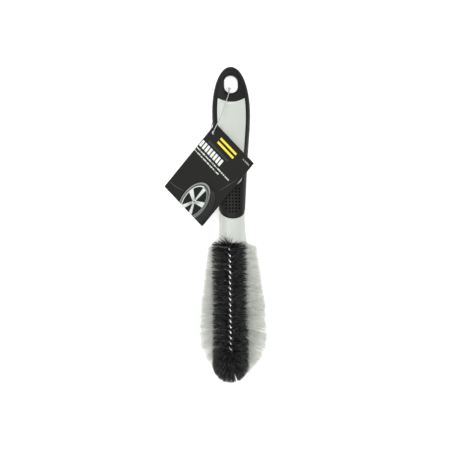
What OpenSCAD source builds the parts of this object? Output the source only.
// Wheel brush. A moulded handle with a rubber grip holds two twisted-wire brushes: a straight one
// of light filament, and one of dark filament that is bent round it as a hairpin loop.
// A printed hang tag is tied through the hanging eye with a snap-lock nylon loop.
//
// Millimetres. The brush lies on its back on a table, as it would be laid down: +X to the right,
// +Y towards the hanging eye, +Z up, and the table is the plane z = 0.
// Handle, wires and bristles are drawn upright to themselves first, with the handle's axis along
// -Y from the hanging end at the origin, and on_table() then lays them down.

/* [Handle] */
// Length from the hanging end to the face of the neck
handle_l = 180; // [165:1:215]
// Width at its widest, in the palm
palm_w = 38.2; // [35:0.2:46]
// Distance of the widest place from the hanging end
palm_s = 48; // [42:1:56]
// Thickness at its thickest
palm_t = 25.2; // [22:0.2:30]
// Thickness at the hanging eye
eye_t = 13; // [11:0.2:15.6]
// Width at the narrowest place, the waist above the neck
waist_w = 25.6; // [23:0.2:30]
// Distance of the waist back from the face of the neck
waist_back = 23; // [18:1:28]
// Diameter of the neck's face
neck_d = 29.6; // [27:0.2:36]

/* [Hanging eye] */
// Width of the oval hole
hole_w = 14; // [11:0.2:16.8]
// Length of the oval hole along the handle
hole_l = 18.2; // [17:0.2:21]
// Distance of its centre from the hanging end
hole_s = 18; // [17:0.5:22]
// Width of the dished rim round it
dish_w = 23.2; // [20:0.2:25]
// Depth of the dished rim
dish_depth = 2.8; // [1.5:0.1:3.4]

/* [Rubber grip] */
// Thickness of the rubber over the core
rubber_t = 2.4; // [1.6:0.1:3]
// Width of the side rails, seen from the front
rail_w = 4.4; // [3.6:0.1:5.4]
// Depth of the light panel below the rubber
panel_recess = 0.5; // [0.2:0.1:1]
// Distance from the hanging end to the middle of the panel's upper edge
panel_s = 36.4; // [34:0.2:40]
// Distance from the hanging end to the panel's lower end
panel_end_s = 122.5; // [108:0.5:130]
// Length of the panel's rounded lower end
panel_round = 9.5; // [8:0.5:18]
// Length of the thumb pad's rounded end on the neck
pad_round = 9; // [6:0.5:12]
// Distance of the thumb pad's end back from the face of the neck
pad_end_back = 25; // [22:1:29]
// Side of one square dimple in the thumb pad
dimple = 1.9; // [1.4:0.1:2.3]
// Distance from dimple to dimple
dimple_pitch = 3.3; // [3:0.1:3.6]
// Depth of a dimple
dimple_depth = 0.8; // [0.4:0.1:1.2]
// Length of the oval that the dimples fill
dimple_field_l = 30; // [22:1:34]
// Width of the oval that the dimples fill
dimple_field_w = 17.6; // [12:0.2:19]

/* [Twisted wires] */
// Diameter of one wire
wire_d = 2; // [1.6:0.1:2.2]
// Length in which a pair of wires makes one turn
twist_pitch = 11.2; // [9:0.1:14]
// Depth of the wires in the neck
socket_depth = 22; // [16:1:24]
// Distance of the loop's legs before and behind the axis at the neck
leg_gap = 6.8; // [6.4:0.1:8.4]
// Distance of the loop's plane to the left of the axis
loop_side = 3; // [2.6:0.1:4]

/* [Light brush] */
// Radius of the bristles at the neck
core_neck_r = 25.2; // [22:0.2:28]
// Radius of the bristles at their widest
core_r = 36; // [32:0.5:40]
// Distance of the widest place from the neck
core_wide_l = 88; // [78:1:94]
// Length of the straight wire outside the neck
core_wire_l = 103; // [97:1:106]

/* [Dark brush] */
// Radius of the bristles round the loop's wire
loop_bristle_r = 19.4; // [17:0.2:21.4]
// Radius of the bend in the loop's wire
bend_r = 18; // [16.4:0.2:19.6]
// Distance from the neck to the middle of the bend
bend_l = 102.5; // [98:0.5:112]
// Turn of the loop's plane about the handle's axis, away from straight front to back
loop_turn = 3.5; // [0:0.5:10]

/* [Hang tag] */
// Width of the card
card_w = 59; // [50:1:62]
// Length of the card
card_l = 86; // [76:1:90]
// Thickness of the card
card_t = 0.5; // [0.3:0.1:0.8]
// Diameter of the punched hole
punch_d = 3.6; // [3:0.1:5]
// Distance of the hole from the card's left edge
punch_in = 4.5; // [3.5:0.1:8]
// Distance of the hole from the card's upper edge
punch_down = 8.6; // [5:0.1:11]
// Diameter of the nylon strand
strand_d = 1; // [0.8:0.1:1.2]
// Diameter of the snap lock that closes the strand into a loop
lock_d = 3.2; // [2.6:0.1:3.6]

/* [Hidden] */
$fn = 48;

// Roll of the brush about its own axis as it lies, and the gap that keeps pieces from touching
roll = 3.5;
gap = 0.3;

// Handle, as distances s from the hanging end
waist_s = handle_l - waist_back;
pad_end_s = handle_l - pad_end_back;
grip_s = palm_s + 0.38 * (waist_s - palm_s);
thumb_s = palm_s + 0.7 * (waist_s - palm_s);
swell_s = palm_s + 34;
nose_s = 7;
width_stations = [[palm_s, palm_w / 2], [grip_s, waist_w / 2 + 0.58 * (palm_w - waist_w) / 2],
                  [thumb_s, waist_w / 2 + 0.23 * (palm_w - waist_w) / 2],
                  [waist_s, waist_w / 2], [handle_l, neck_d / 2]];
thick_stations = [[0, eye_t / 2], [hole_s, eye_t / 2], [swell_s, palm_t / 2],
                  [waist_s, palm_t / 2 - 0.3], [handle_l, neck_d / 2]];
round_sides = 28;
oval_power = 2.3;
end_power = 2.1;

// Hanging eye
hole_r = hole_w / 2;
hole_half = hole_l / 2 - hole_r;
dish_r = dish_w / 2;

// Wires: two round strands twisted about one line
strand_off = wire_d / 2 + 0.02;
pair_r = strand_off + wire_d / 2;
bore_r = pair_r + 0.2;
end_gap = 0.8;
rings_per_turn = 9;
wire_sides = 6;

// Loop: a leg leaves the neck at leg_gap and runs straight to where it is tangent to the bend
leg_tilt = asin(bend_r / norm([leg_gap, bend_l])) - atan(leg_gap / bend_l);
leg_l = sqrt(leg_gap * leg_gap + bend_l * bend_l - bend_r * bend_r);
bend_s = handle_l + bend_l;
straight_l = socket_depth + leg_l;
bend_arc = 180 + 2 * leg_tilt;
curve_l = bend_r * bend_arc * PI / 180;
loop_l = 2 * straight_l + curve_l;
bend_lap = 2;
bend_slack = 0.15;

// Bristle zones: the light brush keeps a web between the dark legs, which holds its wire
web_half = bore_r + 0.3;
core_end_s = handle_l + core_wire_l;
core_tip_r = core_r * 0.69;
core_stations = [[handle_l, core_neck_r], [handle_l + 0.36 * core_wide_l, core_neck_r + 0.44 * (core_r - core_neck_r)],
                 [handle_l + 0.68 * core_wide_l, core_neck_r + 0.79 * (core_r - core_neck_r)],
                 [handle_l + core_wide_l, core_r], [core_end_s + 3, core_r * 0.955],
                 [core_end_s + 18, core_tip_r], [core_end_s + 28, core_r * 0.36]];
core_tip_s = core_end_s + 31;

// How the brush lies: on the hanging end, and on whichever of the bristles reaches lowest, which is
// the loop's back leg at the bend or at the neck, or the light bristles beside that leg
tip_reach = bend_r + loop_bristle_r;
neck_reach = leg_gap + loop_bristle_r / cos(leg_tilt);
beside_leg = max(0, 0.98 * (loop_bristle_r + gap) - loop_side);
core_reaches = [for (p = core_stations) if (p[1] > beside_leg)
                [p[0], sqrt(p[1] * p[1] - beside_leg * beside_leg)]];
sin_incline = max([for (p = concat([[bend_s, tip_reach], [handle_l, neck_reach]], core_reaches))
                   (p[1] - eye_t / 2) / (p[0] - nose_s)]);
incline = asin(sin_incline);
lift = eye_t / 2 - nose_s * sin_incline;
half_reach = (bend_s * cos(incline) + tip_reach) / 2;

// Hang tag: how the card is turned and how far it leans
card_turn = -43.6;
card_lean = 28.2;

// Middle line of the nylon strand, from the top of the lock, through the card, to its foot
strand_route = [[-1.6, 137, 10], [-1.6, 137, 12], [-1.6, 136.2, 14.2], [-1.8, 134.4, 16],
                [-2.2, 132, 17.4], [-3, 129, 18.6], [-4.3, 125.4, 19.8], [-5.8, 121.5, 20.8],
                [-7.3, 117, 22.2], [-8.9, 112.5, 24], [-10.5, 108, 26.4], [-12.4, 104, 28.8],
                [-14.4, 100.4, 30.6], [-16.2, 97, 31.2], [-17.3, 94.6, 30.2], [-17.9, 92.8, 27.8],
                [-18.4, 92.1, 24.6], [-19.2, 92.5, 20.8], [-20, 94, 17], [-20.4, 96.2, 13.5],
                [-20.2, 98.8, 10], [-19.2, 102, 7], [-17.4, 105.6, 4.6], [-15, 109.6, 2.8],
                [-12.4, 114, 1.7], [-9.8, 118.5, 1.1], [-7.4, 123, 0.8], [-5.2, 127.5, 0.7],
                [-3.4, 131.5, 0.7], [-2.2, 134.6, 0.9], [-1.6, 136.6, 1.7], [-1.6, 137, 3], [-1.6, 137, 4.6]];
strand_sides = 8;

// Smooth curve through [place, value] stations, with no overshoot between them
function chord(p, i) = (p[i + 1][1] - p[i][1]) / (p[i + 1][0] - p[i][0]);
function slope(p, i) =
    i == 0 ? 0 :
    i == len(p) - 1 ? chord(p, i - 1) :
    chord(p, i - 1) * chord(p, i) <= 0 ? 0 :
    2 * chord(p, i - 1) * chord(p, i) / (chord(p, i - 1) + chord(p, i));
function between(p, i, u, h) =
    (2 * u * u * u - 3 * u * u + 1) * p[i][1] + (u * u * u - 2 * u * u + u) * h * slope(p, i)
    + (3 * u * u - 2 * u * u * u) * p[i + 1][1] + (u * u * u - u * u) * h * slope(p, i + 1);
function along(p, s, i = 0) =
    i < len(p) - 2 && s > p[i + 1][0] ? along(p, s, i + 1) :
    between(p, i, (s - p[i][0]) / (p[i + 1][0] - p[i][0]), p[i + 1][0] - p[i][0]);

// Half the handle's width and half its thickness at a distance s from the hanging end
function rounded(u, power) = u >= 1 ? 1 : pow(1 - pow(1 - u, power), 1 / power);
function half_w(s) = s < palm_s ? palm_w / 2 * rounded(s / palm_s, end_power) : along(width_stations, s);
function half_t(s) = along(thick_stations, s) * rounded(s / nose_s, 2.4);

// Sections of the handle: ovals that turn round towards the neck
function power_at(s) = s < waist_s ? oval_power : oval_power - (oval_power - 2) * (s - waist_s) / waist_back;
function signed_pow(v, e) = sign(v) * pow(abs(v), e);
function section(s, inset) = [
    for (k = [0:round_sides - 1])
        [(half_w(s) - inset) * signed_pow(cos(360 * k / round_sides), 2 / power_at(s)), -s,
         (half_t(s) - inset) * signed_pow(sin(360 * k / round_sides), 2 / power_at(s))]];
function handle_places(inset, end) = [
    for (a = [4:9.555:90]) if (half_w(palm_s * (1 - cos(a))) > inset + 1) palm_s * (1 - cos(a)),
    for (k = [1:16]) palm_s + (end - palm_s) * k / 16];
// Height of the handle's front surface above its axis
function front_z(x, s) = half_t(s) * pow(1 - pow(min(1, abs(x) / half_w(s)), power_at(s)), 1 / power_at(s));

// The card's lower edge lies card_gap above the grip's shoulder, and its lowest corner stays off the
// table, which sets the punched hole's place
card_gap = 0.556;
shoulder_s = (half_reach - 24.4) / cos(incline);
shoulder = [half_w(shoulder_s) * signed_pow(cos(125), 2 / oval_power),
            half_t(shoulder_s) * signed_pow(sin(125), 2 / oval_power)];
shoulder_x = shoulder[0] * cos(roll) + shoulder[1] * sin(roll);
shoulder_z = lift + shoulder_s * sin(incline)
             + (shoulder[1] * cos(roll) - shoulder[0] * sin(roll)) * cos(incline);
punch_x = -17.9;
corner_drop = sin(card_lean) * (punch_in * cos(card_turn) - (card_l - punch_down) * sin(card_turn))
              + card_t / 2 * cos(card_lean);
punch_at = [punch_x, 92.5,
            max(gap + corner_drop, shoulder_z + (punch_x - shoulder_x) * tan(card_lean)
                                   + (card_gap + card_t / 2) / cos(card_lean))];

// A closed solid through rings of points that all have the same number of sides
module skin(rings) {
    n = len(rings[0]);
    last = len(rings) - 1;
    polyhedron(points = [for (r = rings) each r],
               faces = [[for (k = [0:n - 1]) k],
                        for (i = [0:last - 1], k = [0:n - 1])
                            each [[i * n + k, (i + 1) * n + k, i * n + (k + 1) % n],
                                  [i * n + (k + 1) % n, (i + 1) * n + k, (i + 1) * n + (k + 1) % n]],
                        [for (k = [n - 1:-1:0]) last * n + k]]);
}

// A round tube's ring at p, along t, with e as the direction of its first corner
function ring(p, t, e, r, n) = [
    for (k = [0:n - 1]) p + r * (cos(360 * k / n) * e + sin(360 * k / n) * cross(t, e))];
function unit(v) = v / norm(v);
function square_to(v, t) = unit(v - (v * t) * t);

// Lays a piece down from its own frame to its place on the table
module on_table() {
    translate([0, half_reach, lift])
        rotate([-incline, 0, 0])
            rotate([0, roll, 0])
                children();
}

// Turns the loop's plane about the handle's axis and shifts it to its side
module in_loop_plane() {
    rotate([0, -loop_turn, 0])
        translate([-loop_side, 0, 0])
            children();
}

module handle_skin(inset, end) {
    skin([for (s = handle_places(inset, end)) section(s, inset)]);
}

module oval_hole(grow) {
    for (side = [-1, 1])
        translate([0, -hole_s + side * hole_half, 0])
            cylinder(r = hole_r + grow, h = 2 * eye_t, center = true);
    translate([0, -hole_s, 0])
        cube([2 * (hole_r + grow), 2 * hole_half, 2 * eye_t], center = true);
}

// The flared mouth of the hole: two cones with a straight wedge between them, on one face
module dish() {
    flare = dish_r - hole_r;
    rise = dish_depth * 1.5;
    wide = hole_r + flare * 1.5;
    translate([0, -hole_s, eye_t / 2 - dish_depth]) {
        for (side = [-1, 1])
            translate([0, side * hole_half, 0])
                cylinder(r1 = hole_r, r2 = wide, h = rise);
        rotate([90, 0, 0])
            linear_extrude(2 * hole_half, center = true)
                polygon([[-hole_r, 0], [hole_r, 0], [wide, rise], [-wide, rise]]);
    }
}

// Outline of the light panel: the handle's outline less the rails, rounded at its lower end
function panel_half(s) =
    (half_w(s) - rail_w) * (s < panel_end_s - panel_round ? 1 :
    sqrt(max(0, 1 - pow((s - panel_end_s + panel_round) / panel_round, 2))));
module panel_zone() {
    arc_r = panel_s - hole_s + 7;
    places = concat([for (s = [hole_s + 4:6:panel_end_s - panel_round]) s],
                    [for (a = [0:11.25:90]) panel_end_s - panel_round * (1 - sin(a))]);
    difference() {
        linear_extrude(2 * palm_t, center = true)
            polygon(concat([for (s = places) [panel_half(s), -s]],
                           [for (k = [len(places) - 2:-1:0]) [-panel_half(places[k]), -places[k]]]));
        translate([0, -panel_s + arc_r, 0])
            cylinder(r = arc_r, h = 3 * palm_t, center = true);
    }
}

// Everything past the thumb pad's rounded end
module neck_zone() {
    side_s = pad_end_s - pad_round;
    reach = half_w(pad_end_s);
    linear_extrude(2 * neck_d, center = true)
        polygon(concat([for (a = [0:11.25:180]) [reach * cos(a), -side_s - pad_round * sin(a)]],
                       [[-neck_d, -side_s], [-neck_d, -handle_l - 5], [neck_d, -handle_l - 5],
                        [neck_d, -side_s]]));
}

// The dimples of the thumb pad, on the front face inside an oval
module dimples() {
    middle_s = pad_end_s - pad_round * 0.6 - dimple_field_l / 2;
    columns = floor(dimple_field_w / 2 / dimple_pitch);
    rows = floor(dimple_field_l / 2 / dimple_pitch);
    for (i = [-columns:columns], j = [-rows:rows])
        if (pow(i * dimple_pitch / dimple_field_w * 2, 2) + pow(j * dimple_pitch / dimple_field_l * 2, 2) < 1)
            translate([i * dimple_pitch, -middle_s - j * dimple_pitch,
                       front_z(i * dimple_pitch, middle_s + j * dimple_pitch) - dimple_depth + dimple])
                cube([dimple, dimple, 2 * dimple], center = true);
}

// What lies along one leg of the loop, side +1 in front of the axis and -1 behind it
module on_leg(side) {
    translate([0, -handle_l, side * leg_gap])
        rotate([90 - side * leg_tilt, 0, 0])
            translate([0, 0, -socket_depth])
                children();
}

module leg(side, r) {
    on_leg(side)
        cylinder(r = r, h = straight_l);
}

// The bend of the loop as a round bar, which laps a little way into both legs.
// Where the bar is thicker than the bend, it closes up at the bend's centre.
module bend(r) {
    translate([0, -bend_s, 0])
        rotate([0, 90, 0])
            rotate([0, 0, 180 - leg_tilt - bend_lap])
                rotate_extrude(angle = bend_arc + 2 * bend_lap)
                    intersection() {
                        translate([bend_r, 0])
                            circle(r);
                        translate([0, -2 * r])
                            square([2 * (bend_r + r), 4 * r]);
                    }
}

// The web of light bristles that holds the straight wire between the loop's legs
module web(half) {
    translate([-50, -core_end_s - 1, -half])
        cube([100, core_wire_l + socket_depth, 2 * half]);
}

// The room of one dark leg among the light bristles, which is open to the outside
module leg_room(side) {
    r = loop_bristle_r + gap;
    difference() {
        union() {
            leg(side, r);
            on_leg(side)
                translate([-0.98 * r, side > 0 ? 0 : -core_r, 0])
                    cube([1.96 * r, core_r, straight_l]);
        }
        web(web_half);
    }
}

// Point, outward direction and way along the loop's middle line, at a length l from its front end
function loop_angle(l) = -leg_tilt + min(bend_arc, max(0, (l - straight_l) / bend_r * 180 / PI));
function loop_out(l) = [0, -sin(loop_angle(l)), cos(loop_angle(l))];
function loop_way(l) = [0, -cos(loop_angle(l)), -sin(loop_angle(l))];
function loop_at(l) =
    [0, -bend_s, 0] + bend_r * loop_out(l)
    + loop_way(l) * (l < straight_l ? l - straight_l : max(0, l - straight_l - curve_l));

// One of the loop's two wires, half a turn from the other
function loop_strand_out(l, half_turn) =
    cos(360 * l / twist_pitch + half_turn) * loop_out(l) + [sin(360 * l / twist_pitch + half_turn), 0, 0];
function loop_strand_at(l, half_turn) = loop_at(l) + strand_off * loop_strand_out(l, half_turn);
module loop_strand(half_turn) {
    steps = ceil(loop_l / twist_pitch * rings_per_turn);
    step = (loop_l - 2 * end_gap) / steps;
    skin([for (k = [0:steps])
        let (l = end_gap + k * step,
             way = unit(loop_strand_at(l + 0.05, half_turn) - loop_strand_at(l - 0.05, half_turn)))
            ring(loop_strand_at(l, half_turn), way, square_to(loop_strand_out(l, half_turn), way),
                 wire_d / 2, wire_sides)]);
}

// The straight brush's wire: out along one strand, round the fold at the tip, and back along the other
function core_out(l) = [cos(-360 * l / twist_pitch), 0, sin(-360 * l / twist_pitch)];
function core_strand_at(l, side) = [0, socket_depth - handle_l - l, 0] + side * strand_off * core_out(l);
function core_leg_ring(l, side) =
    let (way = side * unit(core_strand_at(l + 0.05, side) - core_strand_at(l - 0.05, side)))
        ring(core_strand_at(l, side), way, square_to(side * core_out(l), way), wire_d / 2, wire_sides);
function core_fold_ring(l, a) =
    let (out = cos(a) * core_out(l) + [0, -sin(a), 0], way = -sin(a) * core_out(l) + [0, -cos(a), 0])
        ring([0, socket_depth - handle_l - l, 0] + strand_off * out, way, out, wire_d / 2, wire_sides);

module handle_core() {
    color([0.86, 0.88, 0.84])
        on_table()
            difference() {
                union() {
                    handle_skin(rubber_t, handle_l - 4);
                    intersection() {
                        handle_skin(panel_recess, handle_l - 2);
                        panel_zone();
                    }
                    intersection() {
                        handle_skin(0, handle_l);
                        neck_zone();
                    }
                }
                oval_hole(rubber_t);
                translate([0, -handle_l - 1, 0])
                    rotate([-90, 0, 0])
                        cylinder(r = bore_r, h = socket_depth + 1);
                in_loop_plane()
                    for (side = [-1, 1])
                        leg(side, bore_r);
            }
}

module grip_overmould() {
    color([0.13, 0.13, 0.13])
        on_table()
            difference() {
                handle_skin(0, handle_l);
                handle_skin(rubber_t, handle_l - 4);
                panel_zone();
                neck_zone();
                oval_hole(0);
                dish();
                mirror([0, 0, 1])
                    dish();
                dimples();
            }
}

module core_wire() {
    out_l = socket_depth + core_wire_l - pair_r;
    steps = ceil(out_l / twist_pitch * rings_per_turn);
    color([0.78, 0.79, 0.8])
        on_table()
            skin(concat([for (k = [0:steps]) core_leg_ring(end_gap + k * (out_l - end_gap) / steps, 1)],
                        [for (a = [30:30:150]) core_fold_ring(out_l, a)],
                        [for (k = [steps:-1:0]) core_leg_ring(end_gap + k * (out_l - end_gap) / steps, -1)]));
}

module core_bristles() {
    color([0.84, 0.85, 0.8])
        on_table()
            difference() {
                rotate([90, 0, 0])
                    rotate_extrude()
                        polygon(concat([[0, handle_l]],
                                       [for (k = [0:17]) let (s = handle_l + (core_tip_s - 3 - handle_l) * k / 17)
                                           [along(core_stations, s), s]],
                                       [[0, core_tip_s]]));
                in_loop_plane()
                    leg_room(1);
                in_loop_plane()
                    leg_room(-1);
                in_loop_plane()
                    bend(loop_bristle_r + gap - bend_slack);
                translate([0, -handle_l + 1, 0])
                    rotate([90, 0, 0])
                        cylinder(r = bore_r, h = core_wire_l + 1 + gap);
            }
}

module loop_wire_a() {
    color([0.78, 0.79, 0.8])
        on_table()
            in_loop_plane()
                loop_strand(0);
}

module loop_wire_b() {
    color([0.7, 0.71, 0.72])
        on_table()
            in_loop_plane()
                loop_strand(180);
}

module loop_bristles() {
    color([0.1, 0.1, 0.1])
        on_table()
            in_loop_plane()
                difference() {
                    union() {
                        leg(1, loop_bristle_r);
                        leg(-1, loop_bristle_r);
                        bend(loop_bristle_r - bend_slack);
                    }
                    translate([0, 100 - handle_l - 0.01, 0])
                        cube(200, center = true);
                    web(web_half + gap);
                    leg(1, bore_r);
                    leg(-1, bore_r);
                    bend(bore_r + bend_slack);
                }
}

module tag_card() {
    color([0.16, 0.16, 0.15])
        translate(punch_at)
            rotate([0, -card_lean, 0])
                rotate([0, 0, card_turn])
                    difference() {
                        translate([-punch_in, punch_down - card_l, -card_t / 2])
                            cube([card_w, card_l, card_t]);
                        cylinder(d = punch_d, h = 4 * card_t, center = true);
                    }
}

// The strand's way at a point of its route, and its rings, which keep one side turned outwards
function route_way(k) =
    unit(strand_route[min(k + 1, len(strand_route) - 1)] - strand_route[max(k - 1, 0)]);
module tag_strand() {
    color([0.85, 0.86, 0.86])
        skin([for (k = [0:len(strand_route) - 1])
            ring(strand_route[k], route_way(k), square_to([0.9, 0.45, 0], route_way(k)),
                 strand_d / 2, strand_sides)]);
}

module tag_lock() {
    foot = strand_route[len(strand_route) - 1];
    head = strand_route[0];
    color([0.8, 0.81, 0.82])
        translate(foot)
            cylinder(d = lock_d, h = head[2] - foot[2]);
}

handle_core();
grip_overmould();
core_wire();
core_bristles();
loop_wire_a();
loop_wire_b();
loop_bristles();
tag_card();
tag_strand();
tag_lock();
